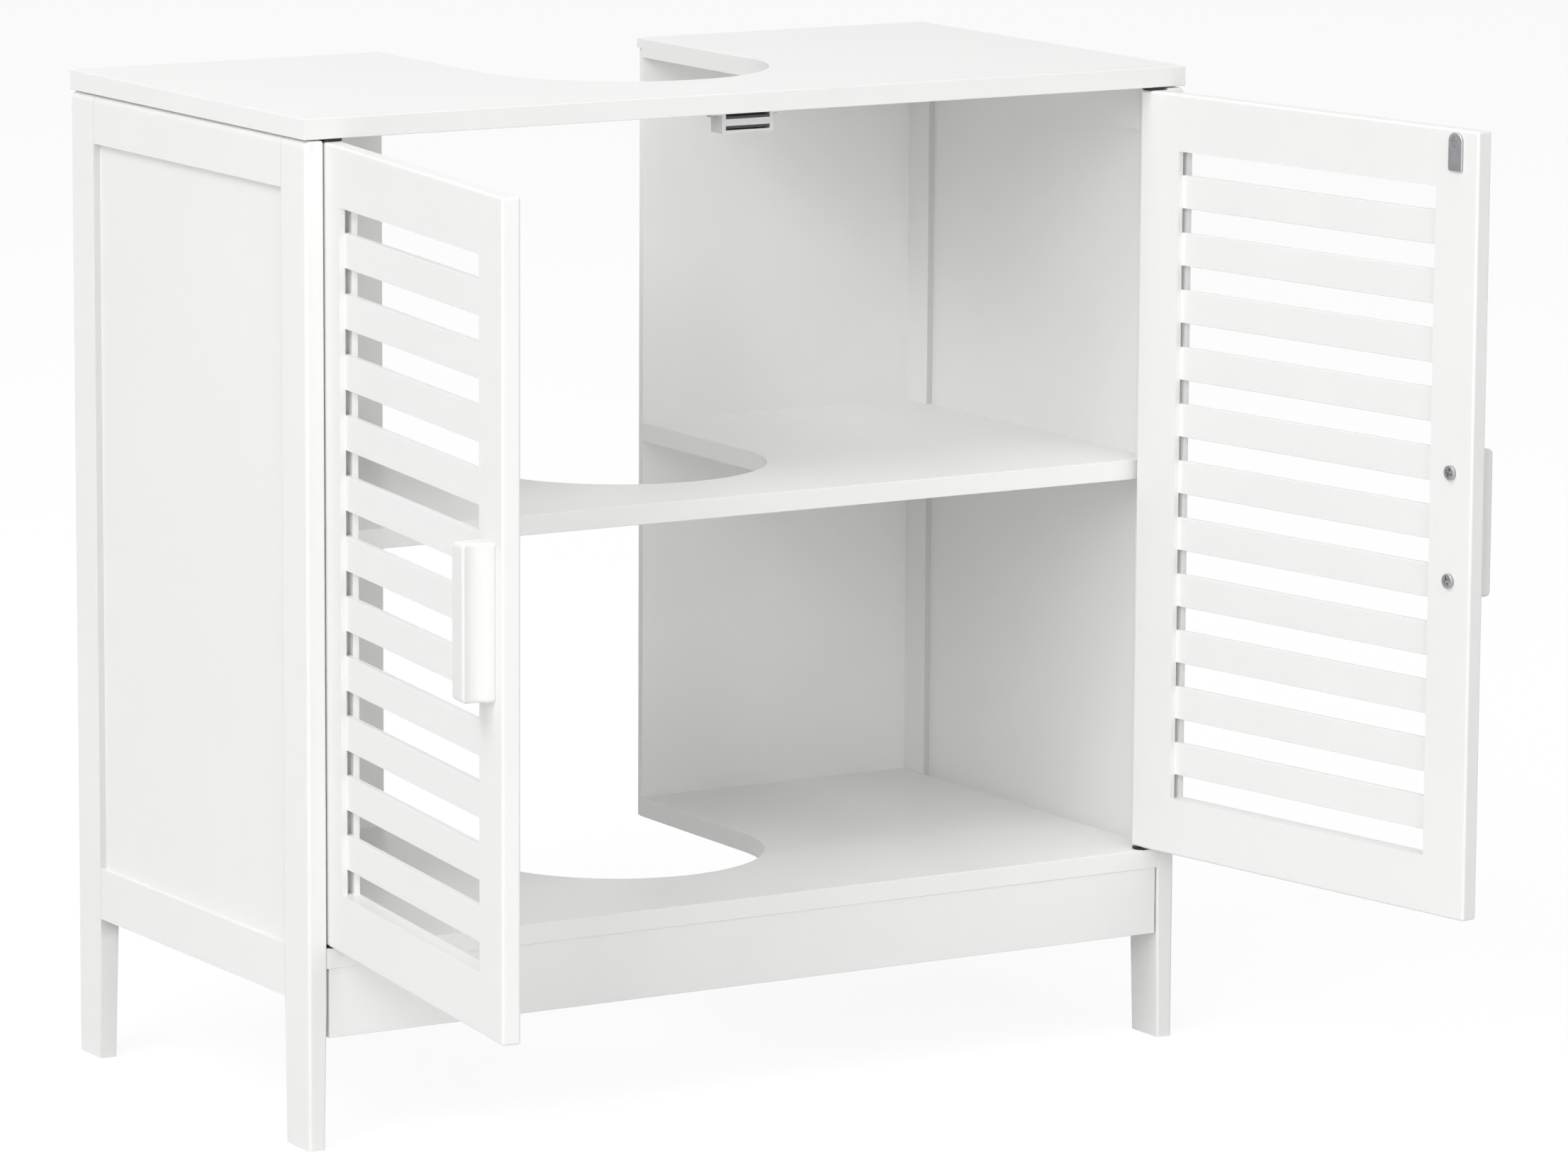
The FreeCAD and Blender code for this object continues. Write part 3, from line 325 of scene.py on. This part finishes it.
# turned beech dowels
beech = paintMaterial("turnedBeech", dict(
    light="D9BE93", dark="C4A273", roughness=0.6, cloudSize=6, peelSize=0.6, peelDepth=0.01,
    grainSize=(0.8, 0.8, 12), grainShare=0.8, grainDepth=0.02))

nodeFinish = {
    "top_board": finishes["board"], "shelf_board": finishes["board"],
    "bottom_board": finishes["board"], "front_apron": finishes["board"],
    "left_back_panel": finishes["panel"], "right_back_panel": finishes["panel"],
    "rail_dowels": beech, "top_dowels": beech, "apron_dowels": beech,
    "top_spacers": nylon, "cam_bolts": zinc, "cam_locks": zinc,
    "back_panel_screws": zinc, "catch_housing": whiteAbs,
    "catch_pole_plates": shadeDarkenedSteel, "catch_magnet": ferrite, "catch_screws": zinc,
    "top_pivot_bushes": blackAcetal, "bottom_pivot_bushes": blackAcetal,
}
for side in ("left", "right"):
    nodeFinish[side + "_side_panel"] = finishes["panel"]
    for leg in ("front", "rear"):
        nodeFinish[f"{side}_{leg}_leg"] = finishes["leg"]
    for rail in ("top", "bottom"):
        nodeFinish[f"{side}_side_{rail}_rail"] = finishes["sideRail"]
        nodeFinish[f"{side}_door_{rail}_rail"] = finishes[side + "Rail"]
        nodeFinish[f"{side}_door_{rail}_pin"] = zinc
    nodeFinish[side + "_door_hinge_stile"] = finishes[side + "Stile"]
    nodeFinish[side + "_door_latch_stile"] = finishes[side + "Stile"]
    nodeFinish[side + "_door_slats"] = finishes[side + "Rail"]
    nodeFinish[side + "_door_handle"] = whiteAbs
    nodeFinish[side + "_door_handle_screws"] = zinc
    nodeFinish[side + "_door_strike_plate"] = satinNickel
    nodeFinish[side + "_door_strike_screw"] = zinc

for name, node in nodes.items():
    for slot in node.material_slots:
        slot.material = nodeFinish[name]
print("materials assigned to", len(nodes), "nodes")


# Quads between neighbouring rings of points, and a fan that closes each end.
def shellFaces(rings, points):
    start = np.arange(rings - 1)[:, None] * points
    here = np.arange(points)[None, :]
    following = (here + 1) % points
    corners = [start + here, start + following, start + points + following, start + points + here]
    quads = np.stack(corners, axis=-1).reshape(-1, 4)
    here, following = here[0], following[0]
    last = (rings - 1) * points
    middle = np.full(points, rings * points)
    low = np.stack([following, here, middle], axis=-1)
    high = np.stack([here + last, following + last, middle + 1], axis=-1)
    return quads, np.concatenate([low, high])


# Six times the volume of a shell, from the corners of its triangles. It is below nothing where
# the faces look inwards.
def signedVolume(points, quads, fans):
    halves = np.concatenate([quads[:, [0, 1, 2]], quads[:, [0, 2, 3]], fans])
    a, b, c = (points[halves[:, i]] for i in range(3))
    return float(np.einsum("ij,ij->i", a, np.cross(b, c)).sum())


sharpAngle = 38  # degrees between faces, above which an edge stays sharp


# One piece from closed shells, each an array of rings, with all faces outwards.
def makePiece(name, shells, finish, body, replaced):
    points, faces = [], []
    for shell in shells:
        rings, count = shell.shape[:2]
        ends = np.stack([shell[0].mean(axis=0), shell[-1].mean(axis=0)])
        corners = np.concatenate([shell.reshape(-1, 3), ends])
        quads, fans = shellFaces(rings, count)
        if signedVolume(corners - corners.mean(axis=0), quads, fans) < 0:
            quads, fans = quads[:, ::-1], fans[:, ::-1]
        first = sum(len(part) for part in points)
        points.append(corners)
        faces += (quads + first).tolist() + (fans + first).tolist()
    mesh = bpy.data.meshes.new(name)
    mesh.from_pydata(np.concatenate(points).tolist(), [], faces)
    mesh.polygons.foreach_set("use_smooth", np.ones(len(mesh.polygons), bool))
    mesh.set_sharp_from_angle(angle=math.radians(sharpAngle))
    mesh.materials.append(finish)
    piece = bpy.data.objects.new(name, mesh)
    bpy.context.scene.collection.objects.link(piece)
    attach(piece, body)
    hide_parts(replaced)
    low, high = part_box(replaced)
    box = np.concatenate(points)
    below, above = (box.min(axis=0) - low) / mm, (box.max(axis=0) - high) / mm
    print(name, "made, off the replaced solid's box by mm", below.round(2), above.round(2))


# Points in mm on the closed door, measured from its pivot axis, at the open door's place in metres.
def onDoor(side, points):
    angle = math.radians(doorValues["turn"][side])
    x, y, z = points[..., 0], points[..., 1], points[..., 2]
    across = x * math.cos(angle) - y * math.sin(angle) + doorValues["pivotX"] * mirror[side]
    deep = x * math.sin(angle) + y * math.cos(angle) + doorValues["pivotY"]
    return np.stack([across, deep, z], axis=-1) * mm


# How much a rounded edge takes off at a distance from the edge: a quarter circle.
def roundOff(distance, radius):
    share = 1 - np.clip(distance / radius, 0, 1)
    return radius * (1 - np.sqrt(1 - share ** 2))


# Moves each point of a closed outline inwards along its own normal.
def insetOutline(outline, amount):
    ahead = np.roll(outline, -1, axis=0) - np.roll(outline, 1, axis=0)
    normal = np.stack([-ahead[:, 1], ahead[:, 0]], axis=-1)
    normal /= np.linalg.norm(normal, axis=1, keepdims=True)
    following = np.roll(outline, -1, axis=0)
    area = (outline[:, 0] * following[:, 1] - following[:, 0] * outline[:, 1]).sum()
    return outline + normal * amount * math.copysign(1, area)


handleValues = dict(  # mm
    wide=19.2, endWide=15.4, out=18.6, tall=88, inset=19.5,
    scoopDeep=2.6, scoopRadius=9.7, scoopFromEnd=7.5,
    endRadius=3.3, lipRadius=1.1, baseRadius=0.5, cornerRadius=2.2,
    sidePoints=64, endPoints=10, levels=14,  # counts on the grid
)


# A level cut through the handle: the half width widens evenly from the outer end to the foot,
# less a round scoop, less the rounded lip at the end and the rounded foot against the door.
def handleOutline(endAt):
    values = handleValues
    share = 0.5 - 0.5 * np.cos(np.linspace(0, np.pi, values["sidePoints"]))
    depth = endAt + (values["out"] - endAt) * share
    flare = (values["wide"] - values["endWide"]) / 2 / values["out"]
    side = values["endWide"] / 2 + flare * depth
    scoopSide = values["endWide"] / 2 + flare * values["scoopFromEnd"]
    chord = values["scoopRadius"] ** 2 - (depth - values["scoopFromEnd"]) ** 2
    scoop = scoopSide - values["scoopDeep"] + values["scoopRadius"] - np.sqrt(chord.clip(0))
    half = np.minimum(side, np.where(chord > 0, scoop, side))
    half -= roundOff(depth - endAt, values["lipRadius"])
    half -= roundOff(values["out"] - depth, values["baseRadius"])
    count = values["endPoints"]
    foot = np.linspace(half[-1], -half[-1], count + 2)[1:-1]
    end = np.linspace(-half[0], half[0], count + 2)[1:-1]
    across = np.concatenate([half, foot, -half[::-1], end])
    deep = np.concatenate([
        depth, np.full(count, values["out"]), depth[::-1], np.full(count, endAt)])
    return np.stack([across, deep], axis=-1)


# Level cuts from the handle's lower end to its upper end. Near both, the outer face draws back
# in a quarter circle and the whole outline gets narrower.
def makeHandle(side):
    values = handleValues
    angles = np.linspace(0, np.pi / 2, values["levels"])
    rise = values["tall"] / 2 - values["endRadius"] * (1 - np.sin(angles))
    levels = np.concatenate([-rise[::-1], rise])
    rings = []
    for level in levels:
        left = values["tall"] / 2 - abs(level)
        outline = handleOutline(float(roundOff(left, values["endRadius"])))
        outline[:, 0] *= 1 - float(roundOff(left, values["cornerRadius"])) / (values["wide"] / 2)
        x = outline[:, 0] + (doorValues["latch"] + values["inset"]) * mirror[side]
        y = outline[:, 1] - doorValues["face"] - values["out"]
        z = np.full(len(x), doorValues["middle"] + level)
        rings.append(np.stack([x, y, z], axis=-1))
    shell = onDoor(side, np.stack(rings))
    makePiece(side + "MouldedHandle", [shell], whiteAbs, side + "_door",
              side + "_door_handle")


headGrid = dict(  # counts on the grid, and shares
    around=72, rim=6, crown=34, centre=0.02, softShare=0.3, taper=0.45,
)


# A head on a shank, its axis along +z and the seat at z = 0. The height falls off in a quarter
# circle at the rim and crowns in a parabola, and a cross is sunk into it: two smooth-edged
# slots that get shallower towards their ends.
def crossHead(values, turn):
    angle = np.linspace(0, 2 * np.pi, headGrid["around"], endpoint=False)
    rim = np.linspace(0, np.pi / 2, headGrid["rim"])
    shoulder = values["tall"] - values["crown"]
    radii = [values["shank"], values["shank"], values["radius"]]
    heights = [-values["long"], 0, 0]
    radii = np.concatenate([radii, values["radius"] - values["edge"] * (1 - np.cos(rim))])
    heights = np.concatenate([heights, shoulder - values["edge"] * (1 - np.sin(rim))])
    inner = values["radius"] - values["edge"]
    crownRadii = np.linspace(inner, headGrid["centre"] * inner, headGrid["crown"])[1:]
    radii = np.concatenate([radii, crownRadii])
    crown = shoulder + values["crown"] * (1 - (crownRadii / inner) ** 2)
    heights = np.concatenate([heights, crown])
    x = radii[:, None] * np.cos(angle)
    y = radii[:, None] * np.sin(angle)
    u = np.abs(x * math.cos(turn) + y * math.sin(turn))
    v = np.abs(y * math.cos(turn) - x * math.sin(turn))
    soft = values["half"] * headGrid["softShare"]

    def slotShare(along, aside):
        width = np.clip((values["half"] - aside) / soft + 0.5, 0, 1)
        reach = np.clip((values["arm"] - along) / soft + 0.5, 0, 1)
        return width * reach * (1 - headGrid["taper"] * along / values["arm"])

    sunk = values["deep"] * np.maximum(slotShare(u, v), slotShare(v, u))
    sunk[:len(radii) - len(crownRadii)] = 0
    return np.stack([x, y, heights[:, None] - sunk], axis=-1)


# Puts a head drawn along +z at a place with its axis along a unit direction.
def aimed(shell, place, direction):
    out = np.array(direction, float)
    side = np.array((0, 0, 1.0)) if abs(out[2]) < 0.5 else np.array((1.0, 0, 0))
    up = np.cross(out, side)
    turned = shell[..., :1] * side + shell[..., 1:2] * up + shell[..., 2:] * out
    return turned + np.array(place, float)


handleScrewValues = dict(  # M4 pan head; mm
    radius=4.3, tall=2.4, crown=0.35, edge=0.5, shank=2.0, long=10.9,
    arm=2.6, half=0.62, deep=2.1, inset=17, span=64,
    turn=0.35, turnStep=0.9,  # radians of the lower head's cross, and from it to the upper's
)


def makeHandleScrews(side):
    values = handleScrewValues
    shells = []
    for number, up in enumerate((-1, 1)):
        place = ((doorValues["latch"] + values["inset"]) * mirror[side], doorValues["face"],
                 doorValues["middle"] + values["span"] / 2 * up)
        head = crossHead(values, values["turn"] + values["turnStep"] * number)
        shells.append(onDoor(side, aimed(head, place, (0, 1, 0))))
    makePiece(side + "HandleScrews", shells, zinc, side + "_door",
              side + "_door_handle_screws")


strikeValues = dict(  # mm, and counts on the grid
    wide=11, tall=22.7, thick=1.7, drop=1.6, inset=17.5, corner=1.5, edge=0.5,
    hole=2.85, sunk=0.6,
    archPoints=48, cornerPoints=10, sidePoints=14, footPoints=8, rings=6,
)
strikeScrewValues = dict(  # mm, and radians of the cross
    radius=2.8, tall=1.7, crown=0.15, edge=0.25, shank=1.5, long=8.5,
    arm=1.9, half=0.45, deep=1.5, turn={"left": 0.6, "right": 0.25},
)


# The plate's outline is a half circle over a rectangle with rounded lower corners. Its rings
# rise from the door, turn in over a rounded edge, close on the screw's hole and sink into it.
def makeStrike(side):
    values = strikeValues
    half, corner = values["wide"] / 2, values["corner"]
    top = doorValues["top"] - values["drop"]
    low = top - values["tall"]
    sides, foot = values["sidePoints"], values["footPoints"]
    arc = np.linspace(0, np.pi, values["archPoints"])
    quarter = np.linspace(0, np.pi / 2, values["cornerPoints"])
    x = np.concatenate([
        half * np.cos(arc),
        np.full(sides, -half),
        -half + corner * (1 - np.cos(quarter)),
        np.linspace(-half + corner, half - corner, foot + 2)[1:-1],
        half - corner * (1 - np.sin(quarter)),
        np.full(sides, half),
    ])
    straight = np.linspace(top - half, low + corner, sides + 2)[1:-1]
    z = np.concatenate([
        top - half + half * np.sin(arc),
        straight,
        low + corner * (1 - np.sin(quarter)),
        np.full(foot, low),
        low + corner * (1 - np.cos(quarter)),
        straight[::-1],
    ])
    outline = np.stack([x, z], axis=-1)
    centre = np.array((0, top - half))
    away = outline - centre
    circle = centre + values["hole"] * away / np.linalg.norm(away, axis=1, keepdims=True)
    rings, heights = [outline], [0.0]
    for angle in np.linspace(0, np.pi / 2, values["rings"]):
        rings.append(insetOutline(outline, values["edge"] * (1 - math.cos(angle))))
        heights.append(values["thick"] - values["edge"] * (1 - math.sin(angle)))
    inner = rings[-1]
    for share in np.linspace(0, 1, values["rings"])[1:]:
        rings.append(inner + (circle - inner) * share)
        heights.append(values["thick"])
    rings.append(circle)
    heights.append(values["thick"] - values["sunk"])
    flat = np.stack(rings)
    deep = np.broadcast_to(np.array(heights)[:, None], flat.shape[:2])
    middleX = (doorValues["latch"] + values["inset"]) * mirror[side]
    shell = np.stack([flat[..., 0] + middleX, deep + doorValues["face"], flat[..., 1]], axis=-1)
    makePiece(side + "StrikePlate", [onDoor(side, shell)], satinNickel, side + "_door",
              side + "_door_strike_plate")
    head = crossHead(strikeScrewValues, strikeScrewValues["turn"][side])
    place = (middleX, doorValues["face"], top - half)
    makePiece(side + "StrikeScrew", [onDoor(side, aimed(head, place, (0, 1, 0)))], zinc,
              side + "_door", side + "_door_strike_screw")


catchScrewValues = dict(  # mm, and radians of the cross
    radius=3.0, tall=1.7, crown=0.5, edge=0.7, shank=1.5, long=10.7,
    arm=1.8, half=0.42, deep=1.5, place=(20.9, -280.6, 585.8), turn=0.5, turnEach=0.4,
)


def makeCatchScrews():
    values = catchScrewValues
    x, y, z = values["place"]
    shells = []
    for sign in (-1, 1):
        head = crossHead(values, values["turn"] + values["turnEach"] * sign)
        shells.append(aimed(head, (x * sign, y, z), (0, 0, -1)) * mm)
    makePiece("catchScrewHeads", shells, zinc, "cabinet", "catch_screws")


backScrewValues = dict(  # mm; places are x and z on the right half, and the left mirrors them
    radius=2.4, tall=1.2, crown=0.0, edge=0.15, shank=1.2, long=17.8,
    arm=1.4, half=0.35, deep=0.9, seat=-2.2, turnStep=0.3,
    places=((120, 113), (120, 353), (240, 113), (240, 353), (291.5, 230), (291.5, 470)),
)


def makeBackScrews():
    values = backScrewValues
    shells = []
    for sign in (-1, 1):
        for number, (across, level) in enumerate(values["places"]):
            head = crossHead(values, values["turnStep"] * number + sign)
            shells.append(aimed(head, (across * sign, values["seat"], level), (0, 1, 0)) * mm)
    makePiece("backPanelScrewHeads", shells, zinc, "cabinet", "back_panel_screws")


camValues = dict(  # mm; places on the right half, and the left mirrors them
    radius=5.0, tall=9.5, crown=0.0, edge=0.35, shank=4.6, long=0.01,
    arm=3.2, half=0.75, deep=2.4, turnStep=0.45,
    boardX=263.5, boards=((-278, 347), (-15, 347), (-281, 107), (-20, 107)),  # y and underside
    legFace=287.5, legLevel=563.2, legs=(-290, -15),
    apronX=150, apronBack=-287.5, apronLevel=83,
)


# Die-cast drums, each in a board's underside, a leg's inner face or the apron's back.
def makeCamLocks():
    values = camValues
    tall = values["tall"]
    spots = []
    for sign in (-1, 1):
        for deep, level in values["boards"]:
            spots.append(((values["boardX"] * sign, deep, level + tall), (0, 0, -1)))
        for deep in values["legs"]:
            place = ((values["legFace"] + tall) * sign, deep, values["legLevel"])
            spots.append((place, (-sign, 0, 0)))
        place = (values["apronX"] * sign, values["apronBack"] - tall, values["apronLevel"])
        spots.append((place, (0, 1, 0)))
    shells = []
    for number, (place, direction) in enumerate(spots):
        head = crossHead(values, values["turnStep"] * number)
        shells.append(aimed(head, place, direction) * mm)
    makePiece("camLockDrums", shells, zinc, "cabinet", "cam_locks")


for side in mirror:
    makeHandle(side)
    makeHandleScrews(side)
    makeStrike(side)
makeCatchScrews()
makeBackScrews()
makeCamLocks()
print("handles, strike plates, screws and cam locks made")


white = (1, 1, 1, 1)
stageValues = dict(
    floorSize=60.0,  # metres across
    floorColour="E6E6E6",
    shadowShare=0.16,  # how strongly the camera sees the object's shadow on the floor
    floorGlow=1.06,  # makes up for the lit share, so that the open floor is white
    skyStrength=0.30,
    backgroundStrength=1.0,
)


# One for rays from the camera, from a mirroring surface or through glass, and else nothing.
def seenDirectly(tree):
    path = addNode(tree, "LightPath")
    either = addNode(tree, "Math", {"operation": "MAXIMUM"}, {
        0: path.outputs["Is Camera Ray"], 1: path.outputs["Is Glossy Ray"]})
    seen = addNode(tree, "Math", {"operation": "MAXIMUM"}, {
        0: either.outputs[0], 1: path.outputs["Is Transmission Ray"]})
    return seen.outputs[0]


def makeFloor(values):
    half = values["floorSize"] / 2
    corners = [(-half, -half, 0), (half, -half, 0), (half, half, 0), (-half, half, 0)]
    mesh = bpy.data.meshes.new("floor")
    mesh.from_pydata(corners, [], [(0, 1, 2, 3)])
    floor = bpy.data.objects.new("floor", mesh)
    bpy.context.scene.collection.objects.link(floor)
    material = bpy.data.materials.new("paleStudioFloor")
    material.use_nodes = True
    tree = material.node_tree
    tree.nodes.clear()
    output = addNode(tree, "OutputMaterial")
    seen = seenDirectly(tree)
    plain = addNode(tree, "BsdfDiffuse", None, {"Color": linearColour(values["floorColour"])})
    bright = addNode(tree, "BsdfDiffuse", None, {"Color": white})
    glow = addNode(tree, "Emission", None, {"Color": white, "Strength": values["floorGlow"]})
    shown = addNode(tree, "MixShader", None, {
        0: values["shadowShare"], 1: glow.outputs[0], 2: bright.outputs[0]})
    final = addNode(tree, "MixShader", None, {
        0: seen, 1: plain.outputs[0], 2: shown.outputs[0]})
    tree.links.new(final.outputs[0], output.inputs[0])
    mesh.materials.append(material)


def makeWorld(values):
    world = bpy.data.worlds.new("studioSky")
    bpy.context.scene.world = world
    world.use_nodes = True
    tree = world.node_tree
    tree.nodes.clear()
    output = addNode(tree, "OutputWorld")
    seen = seenDirectly(tree)
    sky = addNode(tree, "Background", None, {"Color": white, "Strength": values["skyStrength"]})
    back = addNode(tree, "Background", None, {
        "Color": white, "Strength": values["backgroundStrength"]})
    final = addNode(tree, "MixShader", None, {
        0: seen, 1: sky.outputs[0], 2: back.outputs[0]})
    tree.links.new(final.outputs[0], output.inputs[0])


makeFloor(stageValues)
makeWorld(stageValues)

middle = (0, -0.15, 0.35)
lampValues = {
    "leftFrontSoftbox": dict(place=(-4.9, -4.2, 3.3), aim=middle, size=3.2, watts=136),
    "highLeftSoftbox": dict(place=(-3.4, -1.2, 4.4), aim=middle, size=2.6, watts=100),
    "highFrontSoftbox": dict(place=(0.0, -3.0, 4.6), aim=middle, size=2.6, watts=61),
    "lowFrontSoftbox": dict(place=(-0.9, -4.8, 1.2), aim=middle, size=2.4, watts=24),
    "highBackSoftbox": dict(place=(0.0, 3.2, 4.2), aim=middle, size=2.6, watts=17),
}


def makeLamp(name, values):
    data = bpy.data.lights.new(name, "AREA")
    data.shape = "SQUARE"
    data.size = values["size"]
    data.energy = values["watts"]
    lamp = bpy.data.objects.new(name, data)
    bpy.context.scene.collection.objects.link(lamp)
    place = np.array(values["place"], float)
    back = place - np.array(values["aim"], float)
    back /= np.linalg.norm(back)
    right = np.cross((0, 0, 1), back)
    right /= np.linalg.norm(right)
    up = np.cross(back, right)
    rows = np.eye(4)
    rows[:3, 0], rows[:3, 1], rows[:3, 2], rows[:3, 3] = right, up, back, place
    lamp.matrix_world = Matrix(rows.tolist())


for name, values in lampValues.items():
    makeLamp(name, values)

cameraValues = dict(
    place=(-2.37113, -4.25146, 1.10843),
    turn=(80.1192, -0.3115, -31.1110),  # degrees about x, y and z
    focal=181.804,  # mm
    sensorWidth=36,  # mm
    farEnd=200,  # metres
)
camera = bpy.data.cameras.new("camera")
camera.sensor_width = cameraValues["sensorWidth"]
camera.lens = cameraValues["focal"]
camera.clip_end = cameraValues["farEnd"]
cameraObject = bpy.data.objects.new("camera", camera)
bpy.context.scene.collection.objects.link(cameraObject)
cameraObject.location = cameraValues["place"]
cameraObject.rotation_euler = [math.radians(angle) for angle in cameraValues["turn"]]
bpy.context.scene.camera = cameraObject
bpy.context.scene.view_settings.view_transform = "Standard"
print("stage, lamps and camera made")
